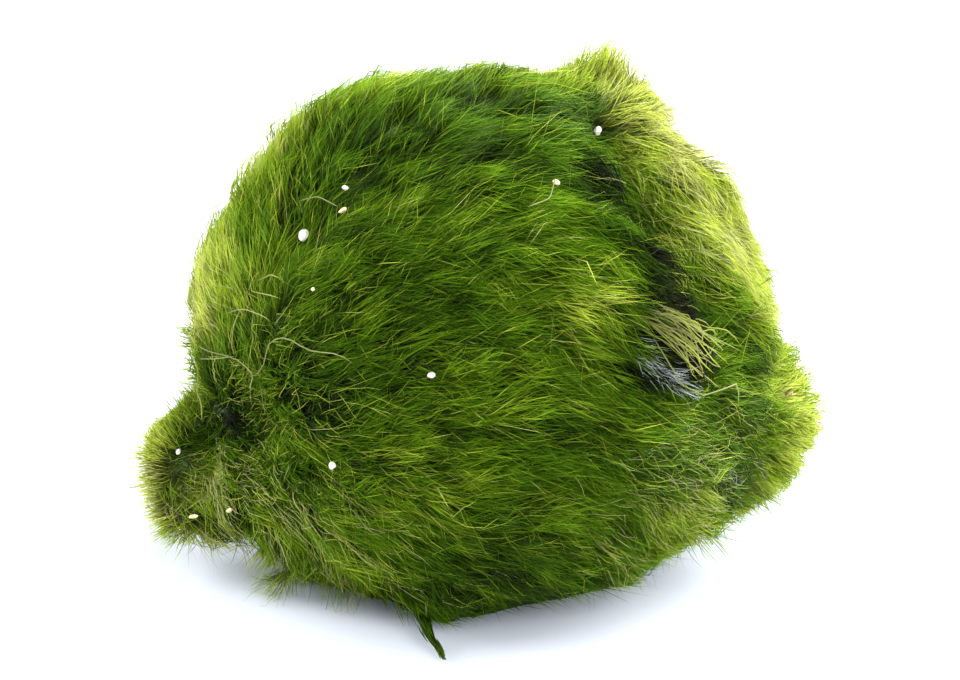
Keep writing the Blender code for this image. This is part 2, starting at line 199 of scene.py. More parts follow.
# Root-like threads that lie on the coat, in the photograph's pixels
THREADS = (
    ((208, 343), (218, 350), (231, 353), (243, 354), (254, 363), (265, 373), (259, 382), (258, 395),
     (258, 406)),
    ((210, 358), (223, 357), (243, 354)),
    ((265, 373), (274, 366), (276, 355), (276, 345), (280, 341), (291, 339), (301, 338), (309, 346),
     (318, 350), (331, 353), (344, 351), (353, 359), (360, 366)),
    ((243, 354), (239, 345), (240, 334), (242, 324), (248, 312)),
    ((202, 366), (203, 381), (203, 392), (208, 403), (211, 416)),
    ((237, 357), (242, 363), (248, 363)),
    ((233, 314), (243, 312), (257, 311), (267, 312), (275, 314), (278, 320)),
    ((258, 280), (259, 287), (258, 295), (262, 295), (279, 295), (286, 294)),
    ((264, 284), (273, 283), (281, 282), (289, 279)),
    ((303, 202), (311, 198), (328, 199), (343, 202)),
    ((551, 188), (547, 208), (526, 214)),
)

# Strands of the straw-coloured bundle at the crease, in the photograph's pixels
BUNDLE = (
    ((658, 308), (673, 313), (686, 321), (699, 319), (706, 321), (717, 336)),
    ((652, 311), (668, 320), (684, 332), (698, 343), (712, 350)),
    ((646, 316), (668, 326), (686, 346), (698, 363), (707, 368)),
    ((640, 321), (659, 328), (676, 353), (688, 371), (701, 381), (720, 383)),
)
BUNDLE_STRANDS = 42
BUNDLE_RADIUS = 0.045 * MM
THREAD_RADIUS = 0.042 * MM
THREAD_RISE = 0.85 * MM  # of a thread above the solid ball

# The wisp of filaments stuck together at the foot: (x, y, height, half width) in millimetres
WISP = ((-4.4, -12.0, 1.8, 0.9), (-4.1, -14.6, 1.3, 0.6), (-3.5, -17.4, 0.9, 0.34), (-2.8, -19.0, 0.6, 0.2),
        (-2.4, -20.3, 0.4, 0.08))
WISP_STRANDS = 170
WISP_RADIUS = 0.06 * MM

# Tufts that stand off the ball: (x, y, angle, lift, length in millimetres, tone, strands), in the
# photograph's pixels and degrees. The light tones of the tufts at the lip, the crown and the rims are partly
# painted glow of light through the rims
TUFTS = (
    (556, 84, 36, 30, 1.8, 0.66, 60), (572, 80, 42, 34, 2.0, 0.7, 80), (586, 76, 48, 38, 2.1, 0.74, 90),
    (598, 74, 56, 40, 2.2, 0.78, 90), (610, 74, 64, 42, 2.2, 0.8, 80), (620, 82, 70, 40, 1.8, 0.8, 60),
    (168, 441, 120, 40, 1.4, 0.76, 90), (158, 448, 140, 44, 1.4, 0.82, 100),
    (152, 460, 158, 44, 1.4, 0.86, 110), (150, 478, 175, 44, 1.4, 0.88, 110),
    (151, 496, 188, 44, 1.4, 0.88, 110), (156, 512, 203, 44, 1.4, 0.86, 100),
    (168, 524, 215, 42, 1.4, 0.8, 90), (184, 530, 225, 36, 1.4, 0.7, 70), (792, 372, 40, 42, 0.8, 0.76, 60),
    (797, 392, 20, 44, 0.8, 0.8, 70), (798, 412, 4, 44, 0.8, 0.8, 70), (794, 434, -10, 44, 0.8, 0.8, 70),
    (788, 454, -24, 42, 1.0, 0.8, 70), (774, 472, -34, 36, 1.3, 0.64, 50),
    (750, 492, -26, 30, 3.2, 0.6, 24), (716, 516, -28, 28, 3.0, 0.58, 24),
    (690, 534, -26, 26, 2.8, 0.54, 20), (264, 560, -112, 30, 2.8, 0.66, 60),
    (276, 572, -102, 30, 2.6, 0.62, 60), (300, 578, -96, 26, 2.2, 0.58, 40),
    (334, 586, -84, 26, 2.6, 0.58, 50), (345, 590, -75, 20, 2.2, 0.52, 30),
    (400, 600, -50, 18, 1.8, 0.46, 30), (186, 412, 112, 44, 1.7, 0.66, 70),
    (184, 392, 106, 44, 1.8, 0.74, 80), (183, 362, 102, 40, 1.6, 0.78, 70),
    (184, 340, 100, 40, 1.6, 0.78, 50), (764, 284, 18, 76, 2.9, 0.3, 2), (786, 334, 28, 70, 2.0, 0.4, 2),
    (152, 522, 168, 72, 2.2, 0.88, 2), (143, 494, 184, 60, 1.8, 0.88, 3), (224, 196, 120, 70, 2.0, 0.3, 2),
    (700, 132, 40, 66, 2.0, 0.8, 4), (262, 552, -120, 50, 3.0, 0.9, 12), (280, 572, -100, 46, 3.0, 0.9, 12),
    (344, 594, -80, 40, 2.6, 0.88, 8), (560, 600, -50, 20, 2.0, 0.6, 10),
    (700, 536, -30, 40, 2.6, 0.84, 10),
)

# Grains caught in the coat: (x, y) in the photograph's pixels, then (long, wide, thick) in millimetres,
# the turn of the long side in degrees and the material
GRAINS = {
    "quartz_grain_large": ((305, 236), (0.95, 0.68, 0.5), 80, "quartz_sand"),
    "quartz_grain_left": ((347, 188), (0.52, 0.34, 0.3), -20, "quartz_sand"),
    "quartz_grain_middle": ((432, 373), (0.52, 0.46, 0.4), 0, "quartz_sand"),
    "quartz_grain_low": ((335, 465), (0.60, 0.52, 0.4), 20, "quartz_sand"),
    "quartz_grain_lip": ((180, 452), (0.46, 0.34, 0.3), 70, "quartz_sand"),
    "quartz_grain_crown": ((597, 132), (0.68, 0.54, 0.5), 70, "quartz_sand"),
    "beige_grain_left": ((345, 213), (0.62, 0.42, 0.3), 0, "beige_sand"),
    "beige_grain_speck": ((315, 290), (0.30, 0.26, 0.2), 0, "beige_sand"),
    "beige_grain_bulge": ((555, 185), (0.56, 0.50, 0.3), 0, "beige_sand"),
    "beige_grain_top": ((420, 71), (1.10, 0.80, 0.7), 10, "beige_sand"),
    "beige_flake_lip": ((195, 516), (0.80, 0.30, 0.25), 10, "beige_sand"),
    "beige_flake_lip_root": ((232, 510), (0.75, 0.30, 0.25), 25, "beige_sand"),
    "brown_seed": ((787, 395), (0.78, 0.40, 0.4), 25, "seed_coat"),
}

# The soft square lights: place and side in metres, and the setting that holds the power
LIGHTS = {
    "light_above": ((0.10, -0.02, 0.33), 0.25, "above_power"),
    "light_right": ((0.34, 0.14, 0.17), 0.30, "right_power"),
    "light_left": ((-0.34, 0.10, 0.14), 0.30, "left_power"),
    "light_in_front": ((0.20, -0.34, 0.20), 0.30, "front_power"),
}
FLOOR_HALF = 1.5  # metres, half the side of the floor


def linear(colour):
    """A colour written as sRGB hex, turned to linear light."""
    parts = [int(colour[i : i + 2], 16) / 255 for i in (1, 3, 5)]
    return tuple(p / 12.92 if p <= 0.04045 else ((p + 0.055) / 1.055) ** 2.4 for p in parts) + (1.0,)


def new_material(name):
    """An empty node material with its output."""
    material = bpy.data.materials.new(name)
    material.use_nodes = True
    material.node_tree.nodes.clear()
    return material


def add_node(material, kind, inputs=None, stops=None, **settings):
    """Add a shader node with its settings. An input that is a socket is linked, and any other is a value."""
    tree = material.node_tree
    node = tree.nodes.new("ShaderNode" + kind)
    for name, value in settings.items():
        setattr(node, name, value)
    for name, value in (inputs or {}).items():
        if isinstance(value, bpy.types.NodeSocket):
            tree.links.new(value, node.inputs[name])
        else:
            node.inputs[name].default_value = value
    for number, (place, colour) in enumerate(stops or ()):
        points = node.color_ramp.elements
        point = points[number] if number < len(points) else points.new(place)
        point.position = place
        point.color = linear(colour)
    return node


def mesh_from(bm, name, material):
    """A mesh of this name and material that takes up the bmesh, which is freed."""
    mesh = bpy.data.meshes.new(name)
    bm.to_mesh(mesh)
    bm.free()
    mesh.materials.append(material)
    return mesh


def put(name, data):
    """A new object of this name in the scene."""
    thing = bpy.data.objects.new(name, data)
    bpy.context.scene.collection.objects.link(thing)
    return thing


def unit(vectors):
    """The vectors made one long."""
    return vectors / np.maximum(np.linalg.norm(vectors, axis=-1, keepdims=True), 1e-12)


def toward(longitude, latitude):
    """The unit vector from the ball's middle at this longitude and latitude."""
    lon, lat = math.radians(longitude), math.radians(latitude)
    return np.array((math.sin(lon) * math.cos(lat), -math.cos(lon) * math.cos(lat), math.sin(lat)))


def tree_of(mesh, weld=0.0):
    """A search tree of the mesh's surface."""
    bm = bmesh.new()
    bm.from_mesh(mesh)
    bmesh.ops.remove_doubles(bm, verts=bm.verts, dist=weld)
    tree = BVHTree.FromBMesh(bm)
    bm.free()
    return tree


SOLID = tree_of(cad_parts[BALL].data, 1e-6)

FORWARD = Vector((0, math.cos(math.radians(VIEW_ELEVATION)), -math.sin(math.radians(VIEW_ELEVATION))))
RIGHT = Vector((1, 0, 0))
UP = RIGHT.cross(FORWARD)
PIXELS_PER_SLOPE = CAMERA_LENS / CAMERA_SENSOR * PHOTO_SIZE[0]
CAMERA_PLACE = AIM - FORWARD * CAMERA_DISTANCE
CAMERA_PLACE += UP * (AIM_PIXEL[1] - PHOTO_SIZE[1] / 2) / PIXELS_PER_SLOPE * CAMERA_DISTANCE


def on_ball(x, y):
    """The place on the solid ball, and its normal, at this pixel of the photograph."""
    across, down = x - PHOTO_SIZE[0] / 2, y - PHOTO_SIZE[1] / 2
    ray = (FORWARD + (RIGHT * across - UP * down) / PIXELS_PER_SLOPE).normalized()
    place, normal, _, _ = SOLID.ray_cast(CAMERA_PLACE, ray)
    if place is None:
        beside = CAMERA_PLACE + ray * CAMERA_DISTANCE
        place, normal, _, _ = SOLID.find_nearest(beside)
    return np.array(place), np.array(normal)


def drawn(angle, normals):
    """The unit vectors across these normals that the camera sees at this angle, in degrees turned left from
    rightwards."""
    turn = math.radians(angle)
    heading = np.array(RIGHT * math.cos(turn) + UP * math.sin(turn))
    facing = np.minimum(normals @ np.array(FORWARD), -0.25)
    heading = heading - np.array(FORWARD) * (normals @ heading / facing)[..., None]
    return unit(heading - normals * (heading * normals).sum(-1, keepdims=True))


def comb_strokes(packed):
    """Every stroke of the comb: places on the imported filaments, unit headings along them, lifts in degrees,
    and reaches."""
    front = FRONT_COMB + LIP_COMB
    directions = [unit(on_ball(x, y)[0] - BALL_MIDDLE) for x, y, _, _ in front]
    directions += [toward(longitude, latitude) for longitude, latitude, _, _ in BACK_COMB]
    places, normals = outermost(packed, np.array(directions))
    headings = [drawn(angle, normal) for (_, _, angle, _), normal in zip(front, normals)]
    for out, (_, _, angle, _) in zip(normals[len(front) :], BACK_COMB):
        east = unit(np.cross((0, 0, 1), out))
        turn = math.radians(angle)
        headings.append(east * math.cos(turn) + np.cross(out, east) * math.sin(turn))
    lifts = np.array([stroke[3] for stroke in front + BACK_COMB], float)
    reaches = np.full(len(places), COMB_REACH)
    reaches[len(FRONT_COMB) : len(front)] = LIP_REACH
    return places, np.array(headings), lifts, reaches


def tone_marks():
    """Every mark of tone, which holds colour and painted light: directions from the middle, reaches in
    degrees, and tones.
    """
    directions = [unit(on_ball(x, y)[0] - BALL_MIDDLE) for x, y, _, _ in FRONT_TONES]
    directions += [toward(longitude, latitude) for longitude, latitude, _, _ in BACK_TONES]
    marks = FRONT_TONES + BACK_TONES
    return np.array(directions), np.array([m[2] for m in marks]), np.array([m[3] for m in marks])


def degrees_apart(directions, others):
    """The angle in degrees between every direction and every other one."""
    return np.degrees(np.arccos(np.clip(directions @ others.T, -1, 1)))


def combed(at, strokes):
    """The comb's heading and lift at these places."""
    places, headings, lifts, reaches = strokes
    apart = np.linalg.norm(at[:, None] - places[None], axis=2) / reaches
    weight = (np.exp(-(apart**2)) + 1e-5 / (1 + apart**2)) * (COMB_REACH / reaches) ** 2
    return unit(weight @ headings), weight @ lifts / weight.sum(1)


def toned(directions, marks):
    """The tone of the coat at these directions."""
    places, reaches, tones = marks
    apart = degrees_apart(directions, places)
    weight = (np.exp(-((apart / reaches) ** 2)) + 1e-4 / (1 + apart**2)) / reaches**2
    return weight @ tones / weight.sum(1)


def sunk(directions):
    """How deep each direction is in a hollow, from 0 to 1."""
    places = np.array([unit(on_ball(x, y)[0] - BALL_MIDDLE) for x, y, _ in HOLLOWS])
    reaches = np.array([reach for _, _, reach in HOLLOWS])
    return np.exp(-((degrees_apart(directions, places) / reaches) ** 2)).max(1)


def rough(directions, size, seed):
    """Smooth noise from about -1 to 1 at these directions, with features of this size in metres."""
    scale = np.linalg.norm(BALL_MIDDLE) / size
    return np.array([noise.noise(Vector(d * scale + seed * 7.3)) for d in directions])


def outermost(tree, directions):
    """The outermost places of a surface in these directions from the ball's middle, and its normals."""
    places = np.empty_like(directions)
    normals = directions.copy()
    middle = Vector(BALL_MIDDLE)
    for number, direction in enumerate(directions):
        out = Vector(direction)
        place, normal, _, _ = tree.ray_cast(middle + out * OUTSIDE, -out)
        if place is None:
            places[number] = middle + out * 15 * MM
        else:
            places[number] = place
            normals[number] = normal
    return places, normals


def depth_below(tree, places, normals, furthest):
    """How far each place lies below the surface, along its normal."""
    depth = np.full(len(places), furthest)
    for number, (place, normal) in enumerate(zip(places, normals)):
        distance = tree.ray_cast(Vector(place), Vector(normal), furthest)[3]
        if distance is not None:
            depth[number] = distance
    return depth


def strand_form(knots, sides):
    """One closed strand, a prism with pointed ends, or with two knots a long thin pyramid: ring place (x, y)
    and knot number of each vertex, and the faces."""
    bm = bmesh.new()
    rings = max(knots - 2, 1)
    bmesh.ops.create_cone(
        bm, cap_ends=True, cap_tris=knots > 2, segments=sides, radius1=1, radius2=min(rings - 1, 1),
        depth=max(rings - 1, 1)
    )
    bmesh.ops.remove_doubles(bm, verts=bm.verts, dist=1e-4)
    uprights = [e for e in bm.edges if abs(e.verts[0].co.z - e.verts[1].co.z) > 0.5]
    if rings > 2:
        bmesh.ops.subdivide_edges(bm, edges=uprights, cuts=rings - 2, use_grid_fill=True)
    bm.verts.ensure_lookup_table()
    co = np.array([v.co for v in bm.verts])
    lowest = co[:, 2].min()
    level = np.round(co[:, 2] - lowest).astype(int) + (knots > 2)
    centre = np.hypot(co[:, 0], co[:, 1]) < 0.5
    level[centre & (level == 1) & (knots > 2)] = 0
    level[centre & (level > 1)] = knots - 1
    faces = [[v.index for v in f.verts] for f in bm.faces]
    bm.free()
    return co[:, :2], level, faces


def belongs(piece):
    """The piece moves with the ball and stands for its solid, which is hidden."""
    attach(piece, BODY)
    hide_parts(BALL)


def strands(name, routes, radii, sideways, tones, sides=3, spots=None):
    """Closed strands along routes (count, knots, 3) with radii (count, knots), joined in one piece."""
    count, knots, _ = routes.shape
    ring, level, faces = strand_form(knots, sides)
    along = unit(np.gradient(routes, axis=1))
    side = sideways[:, None, :] - along * (along * sideways[:, None, :]).sum(2, keepdims=True)
    side = unit(side)
    upward = np.cross(along, side)
    reach = radii[:, level, None]
    co = routes[:, level] + reach * (
        side[:, level] * ring[None, :, 0, None] + upward[:, level] * ring[None, :, 1, None]
    )
    per_strand = len(level)
    corners = np.concatenate([np.array(f) for f in faces])
    sizes = np.array([len(f) for f in faces])
    index = (corners[None] + np.arange(count)[:, None] * per_strand).ravel()
    starts = np.concatenate(([0], np.cumsum(np.tile(sizes, count))[:-1]))
    mesh = bpy.data.meshes.new(name)
    mesh.vertices.add(count * per_strand)
    mesh.vertices.foreach_set("co", co.astype(np.float32).ravel())
    mesh.loops.add(len(index))
    mesh.loops.foreach_set("vertex_index", index.astype(np.int32))
    mesh.polygons.add(len(starts))
    mesh.polygons.foreach_set("loop_start", starts.astype(np.int32))
    mesh.update(calc_edges=True)
    mesh.validate()
    mesh.shade_smooth()
    uv = np.empty((count, per_strand, 2), np.float32)
    uv[..., 0] = np.clip(tones, 0.01, 0.99)[:, None]
    uv[..., 1] = (np.linspace(0.02, 0.98, knots) if spots is None else spots)[level][None]
    layer = mesh.uv_layers.new(name=STRAND_UV)
    layer.data.foreach_set("uv", uv.reshape(-1, 2)[index].ravel())
    mesh.materials.append(filament_material())
    belongs(put(name, mesh))


def tapered(count, radius, shape):
    """Radii at each knot of this many strands: the radius times the strand's shape along its length."""
    return radius * np.array(shape) * np.ones((count, 1))


def filament_material():
    """Living green alga filaments (Cladophora), wet: fine tubes with a soft gloss, which let light through so
    that tips and rims glow yellow-green. The roots stay dark under painted shade: the palette's colour is
    multiplied by a ramp that darkens each strand towards its root."""
    material = bpy.data.materials.get("living_algae_filament")
    if material:
        return material
    material = new_material("living_algae_filament")
    uv = add_node(material, "UVMap", uv_map=STRAND_UV)
    parts = add_node(material, "SeparateXYZ", {"Vector": uv.outputs["UV"]})
    hue = add_node(material, "ValToRGB", {"Fac": parts.outputs["X"]}, stops=PALETTE)
    shade = add_node(material, "ValToRGB", {"Fac": parts.outputs["Y"]}, stops=STRAND_SHADE)
    colour = add_node(
        material, "MixRGB", {"Fac": 1.0, "Color1": hue.outputs["Color"], "Color2": shade.outputs["Color"]},
        blend_type="MULTIPLY",
    )
    gloss = add_node(
        material, "MapRange", {"Value": parts.outputs["Y"], "To Min": 0.8, "To Max": 0.5}
    )
    skin = add_node(
        material, "BsdfPrincipled",
        {"Base Color": colour.outputs["Color"], "Roughness": gloss.outputs["Result"], "IOR": 1.38,
         "Specular IOR Level": 0.18},
    )
    through = add_node(material, "BsdfTranslucent", {"Color": colour.outputs["Color"]})
    both = add_node(material, "MixShader", {0: 0.58, 1: skin.outputs["BSDF"], 2: through.outputs["BSDF"]})
    add_node(material, "OutputMaterial", {"Surface": both.outputs["Shader"]})
    return material


def mottle(material, size, detail, stops, strength, depth, **skin):
    """Give the material two or three colours and a bump that follow one noise of this size in metres."""
    place = add_node(material, "TexCoord")
    grain = add_node(
        material, "TexNoise", {"Vector": place.outputs["Object"], "Scale": 1 / size, "Detail": detail}
    )
    hue = add_node(material, "ValToRGB", {"Fac": grain.outputs["Fac"]}, stops=stops)
    bump = add_node(
        material, "Bump", {"Height": grain.outputs["Fac"], "Strength": strength, "Distance": depth}
    )
    inputs = {"Base Color": hue.outputs["Color"], "Normal": bump.outputs["Normal"], **skin}
    surface = add_node(material, "BsdfPrincipled", inputs)
    add_node(material, "OutputMaterial", {"Surface": surface.outputs["BSDF"]})
    return material


def packed_material():
    """Old filaments packed under the coat, with silt between them: brown-green, matt, and streaked at the
    width of a few filaments."""
    material = new_material("packed_old_filaments")
    stops = ((0.3, "#18200a"), (0.55, "#2e450d"), (0.8, "#4c6a16"))
    return mottle(material, 0.9 * MM, 4.0, stops, 0.8, 0.2 * MM, Roughness=0.9)


GRAIN_FINISHES = {
    # colours from dark to light, roughness, share of light let through
    "quartz_sand": (("#d8d6c8", "#f6f5ee"), 0.25, 0.35),
    "beige_sand": (("#b89f6a", "#e6d9b4"), 0.6, 0.0),
    "seed_coat": (("#3a2314", "#7a4a2c"), 0.5, 0.0),
}


def grain_material(name):
    """A grain's finish: worn quartz, which is milky and glassy; iron-stained beige sand, matt; or a brown
    seed coat. Each is mottled at about a sixth of a millimetre, with a finely pitted surface."""
    material = bpy.data.materials.get(name)
    if material:
        return material
    (dark, light), roughness, through = GRAIN_FINISHES[name]
    skin = {"Roughness": roughness, "Transmission Weight": through}
    stops = ((0.35, dark), (0.65, light))
    return mottle(new_material(name), 0.17 * MM, 3.0, stops, 0.5, 0.03 * MM, **skin)


# How each layer of the coat lies: length and spread in metres, swirl, bend and off in degrees, and the rest as
# shares; bent is the share of its filaments with a bend in the middle
WAY = ("length", "spread", "wander", "rise", "swirl", "bend", "stand", "off", "gather", "pale", "uneven",
       "patchy", "tint", "bent")
LOCK_WAY = dict(zip(WAY, (
    3.5 * MM, 0.50 * MM, 0.11, 1.0, 17, 28, 0.28, 0, 0.55, 0.05, 0.16, 0.06, 0.0, 0.45)))
UNDERCOAT_WAY = dict(zip(WAY, (
    2.6 * MM, 0.40 * MM, 0.20, 0.72, 22, 20, 0.1, 0, 0.2, 0.0, 0.12, 0.03, -0.10, 0.0)))
FUZZ_WAY = dict(zip(WAY, (
    2.1 * MM, 0.10 * MM, 0.30, 1.05, 44, 0, 0.85, 22, 0.0, 0.5, 0.14, 0.04, 0.06, 0.0)))
LOOSE_WAY = dict(zip(WAY, (
    3.2 * MM, 0.3 * MM, 0.10, 1.08, 28, 40, 0.2, 0, 0.2, 0.1, 0.12, 0.04, 0.04, 1.0)))
PAINTED_GLINT_WAY = dict(zip(WAY, (
    1.8 * MM, 0.1 * MM, 0.06, 1.14, 16, 30, 0.1, 0, 0.0, 0.0, 0.12, 0.0, 0.0, 1.0)))


class MossBallCoat(bpy.types.PropertyGroup):
    """Sizes of the coat."""

    depth: bpy.props.FloatProperty(
        name="Coat depth", description="From the packed filaments to the solid ball's surface",
        default=1.15 * MM, unit="LENGTH",
    )
    locks: bpy.props.IntProperty(name="Locks", description="Locks that the coat is made of", default=2700)
    lock_strands: bpy.props.IntProperty(
        name="Filaments in a lock", description="Filaments in one lock", default=44
    )
    undercoat: bpy.props.IntProperty(
        name="Undercoat", description="Small darker tufts between and under the locks", default=5600
    )
    fuzz: bpy.props.IntProperty(
        name="Fuzz", description="Single fine filaments that stand off the coat", default=15000
    )
    radius: bpy.props.FloatProperty(
        name="Filament radius", description="Half the thickness of a filament",
        default=0.046 * MM, unit="LENGTH",
    )


class MossBallStudio(bpy.types.PropertyGroup):
    """Light and floor."""

    sky: bpy.props.FloatProperty(name="Sky", description="Strength of the white surroundings", default=1.28)
    above_power: bpy.props.FloatProperty(
        name="Light above", description="Power of the soft light above", default=0.45, unit="POWER"
    )
    right_power: bpy.props.FloatProperty(
        name="Light on the right", description="Power of the wide light at the right, behind the ridge",
        default=4.4, unit="POWER",
    )
    left_power: bpy.props.FloatProperty(
        name="Light on the left", description="Power of the wide light at the left, behind the lip",
        default=3.0, unit="POWER",
    )
    front_power: bpy.props.FloatProperty(
        name="Light in front", description="Power of the weak light in front", default=1.9, unit="POWER"
    )
    floor: bpy.props.FloatVectorProperty(
        name="Floor", description="Colour of the floor", default=linear("#c9ced8"), size=4, subtype="COLOR"
    )


class MOSSBALL_OT_packed_filaments(bpy.types.Operator):
    """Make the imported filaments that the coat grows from"""

    bl_idname = "mossball.packed_filaments"
    bl_label = "Packed filaments"

    def execute(self, context):
        coat = context.scene.moss_ball_coat
        bm = bmesh.new()
        bmesh.ops.create_icosphere(bm, subdivisions=6, radius=1)
        bm.verts.ensure_lookup_table()
        directions = unit(np.array([v.co for v in bm.verts]))
        for vertex, place in zip(bm.verts, outermost(SOLID, directions)[0]):
            vertex.co = place
        for _ in range(5):
            bmesh.ops.smooth_vert(
                bm, verts=bm.verts, factor=0.5, use_axis_x=True, use_axis_y=True, use_axis_z=True
            )
        for vertex in bm.verts:
            if vertex.co.z < LOW_DOWN:
                widest = math.sqrt(FOOT_RADIUS**2 - (BALL_MIDDLE[2] - vertex.co.z) ** 2)
                across = math.hypot(vertex.co.x, vertex.co.y)
                if across > widest:
                    vertex.co.xy *= widest / across
        bm.normal_update()
        inward = [v.normal.copy() for v in bm.verts]
        for vertex, normal in zip(bm.verts, inward):
            flat = min(max((vertex.co.z - 0.5 * MM) / (5 * MM), 0.12), 1)
            flat *= 1 - 0.72 * min(max((-vertex.co.x - 20 * MM) / (2 * MM), 0), 1)
            vertex.co -= normal * coat.depth * flat
            vertex.co.z = max(vertex.co.z, 0.1 * MM)
        bmesh.ops.recalc_face_normals(bm, faces=bm.faces)
        mesh = mesh_from(bm, "packed_filaments", packed_material())
        mesh.shade_smooth()
        belongs(put("packed_filaments", mesh))
        return {"FINISHED"}


def spread(mesh, count, rng):
    """Directions from the ball's middle to places spread over the mesh's faces by their area."""
    corners = np.array([[mesh.vertices[i].co for i in p.vertices] for p in mesh.polygons])
    area = np.array([p.area for p in mesh.polygons])
    upright = np.array([p.normal.z for p in mesh.polygons])
    area[upright < -0.85] = 0
    total = np.cumsum(area)
    marks = (np.arange(count) + rng.random(count)) / count * total[-1]
    chosen = corners[np.searchsorted(total, marks)]
    share = rng.random((count, 2))
    share = np.where(share.sum(1, keepdims=True) > 1, 1 - share, share)
    places = chosen[:, 0] + (chosen[:, 1] - chosen[:, 0]) * share[:, :1]
    places += (chosen[:, 2] - chosen[:, 0]) * share[:, 1:]
    return unit(places - BALL_MIDDLE)


def grow(packed, starts, per, knots, way, rng):
    """Filaments in locks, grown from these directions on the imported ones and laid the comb's way: routes,
    sideways vectors, tones and root directions. way holds their sizes and how loose they are."""
    strokes = comb_strokes(packed)
    count = len(starts)
    hollow = sunk(starts)
    place, normal = outermost(packed, starts)
    _, lift = combed(place, strokes)
    tall = 0.86 + 0.20 * rough(starts, 1.5 * MM, 1) + 0.26 * rough(starts, 3.4 * MM, 4)
    tall = np.clip(tall + rng.normal(size=count) * way["uneven"], 0.35, 1.25) * way["rise"]
    tall *= 1 - 0.68 * hollow
    length = way["length"] * np.exp(rng.normal(size=count) * 0.22)
    length *= (1 - 0.45 * np.clip((lift - 26) / 30, 0, 1)) * (1 - HOLLOW_SHRINK * hollow)
    low_down = 1 - np.clip((place[:, 2] - 1 * MM) / LOW_DOWN, 0, 1)
    length *= 1 - 0.4 * low_down
    tall *= 1 - 0.6 * low_down
    turn = rough(starts, 3 * MM, 2) * way["swirl"] + rough(starts, 1.3 * MM, 5) * way["swirl"] * 0.8
    turn = np.radians(turn + rng.normal(size=count) * way["swirl"] * 0.4)
    bend = np.radians(rng.normal(size=count) * way["bend"])
    tone = way["tint"] + 0.16 * rough(starts, 2.6 * MM, 3) + rng.normal(size=count) * way["patchy"]
    # Painted shade: locks that stand lower are darker, as if shaded by taller ones
    tone -= 0.18 * (1 - tall / way["rise"])

    total = count * per
    lock = np.repeat(np.arange(count), per)
    offset = rng.normal(size=(total, 3)) * way["spread"]
    wander = rng.normal(size=(total, 3)) * (way["wander"] * length[lock])[:, None]
    own_length = np.exp(rng.normal(size=total) * 0.2)
    stray = rng.random(total) < STRAY_SHARE
    wander[stray] *= 2.4
    own_tall = tall[lock] * (1 + rng.normal(size=total) * 0.14)
    own_tall[stray] *= 1.2
    stand = length[lock] * np.sin(np.radians(np.clip(lift[lock] - 12 + way["off"], 0, 60))) * way["stand"]
    stand *= 0.4 + 1.2 * rng.random(total)

    guide = place.copy()
    before = 0.0
    middle_knot = max(t for t in knots if t < 0.7)
    routes = np.empty((total, len(knots), 3))
    for number, t in enumerate(knots):
        aim = unit(guide - BALL_MIDDLE)
        heading, _ = combed(guide, strokes)
        swing = turn + bend * (t - 0.4)
        heading = heading * np.cos(swing)[:, None] + np.cross(aim, heading) * np.sin(swing)[:, None]
        heading = unit(heading - normal * (heading * normal).sum(1, keepdims=True))
        if number == 0:
            sideways = np.cross(aim, heading)[lock]
        step = (t - before) * length * np.cos(np.radians(lift))
        before = t
        guide, normal = outermost(packed, unit(guide + heading * step[:, None] - BALL_MIDDLE))
        mine = guide[lock] + (guide - place)[lock] * (own_length - 1)[:, None]
        mine += offset * (1 - way["gather"] * t) + wander * t**1.5
        low, out = outermost(packed, unit(mine - BALL_MIDDLE))
        if number == 0:
            roots = unit(low - BALL_MIDDLE)
        if t == middle_knot:
            seen = unit(guide - BALL_MIDDLE)
            # The marks' tones, with painted shade that darkens the coat in hollows
            tone += toned(seen, tone_marks()) - 0.16 * sunk(seen)
        deep = depth_below(SOLID, low, out, DEEPEST_COAT)
        deep = np.where(low[:, 2] < LOW_DOWN, np.minimum(deep, DEEPEST_LOW_COAT), deep)
        height = deep * own_tall * (1 - (1 - t) ** 2.6) + stand * t**1.6
        routes[:, number] = low + out * height[:, None]
    own_tone = np.minimum(tone[lock] + rng.normal(size=total) * 0.045, TONE_LIMIT)
    pale = rng.random(total) < way["pale"]
    own_tone[pale] = np.minimum(own_tone[pale] + 0.1 + rng.random(pale.sum()) * 0.2, PALE_LIMIT)
    own_tone[stray] = np.minimum(own_tone[stray] + 0.06, PALE_LIMIT)
    return routes, unit(sideways), own_tone, roots


def scattered(x, y, wide, count, rng):
    """Directions from the ball's middle to places strewn around a pixel of the photograph."""
    pixels = np.array((x, y)) + rng.normal(size=(count, 2)) * wide
    return unit(np.array([on_ball(*pixel)[0] for pixel in pixels]) - BALL_MIDDLE)


def made(name):
    """The piece of this name, which has to be there."""
    piece = bpy.data.objects.get(name)
    if piece is None:
        raise RuntimeError(name + " is not made yet, so make it first")
    return piece


def laid(line, knots, proud):
    """A smooth route of this many knots through a line of the photograph's pixels, laid on the ball."""
    points = []
    for x, y in line:
        place, normal = on_ball(x, y)
        points.append(place + normal * proud)
    points = np.array(points)
    steps = np.linalg.norm(np.diff(points, axis=0), axis=1)
    run = np.concatenate(([0], np.cumsum(steps)))
    route = np.stack([np.interp(np.linspace(0, run[-1], knots), run, points[:, a]) for a in range(3)], 1)
    route[1:-1] = (route[:-2] + 2 * route[1:-1] + route[2:]) / 4
    return route


def keep_off_floor(routes, radii):
    """Lift every knot that would sink in the floor."""
    routes[..., 2] = np.maximum(routes[..., 2], radii + OFF_FLOOR)
    return routes


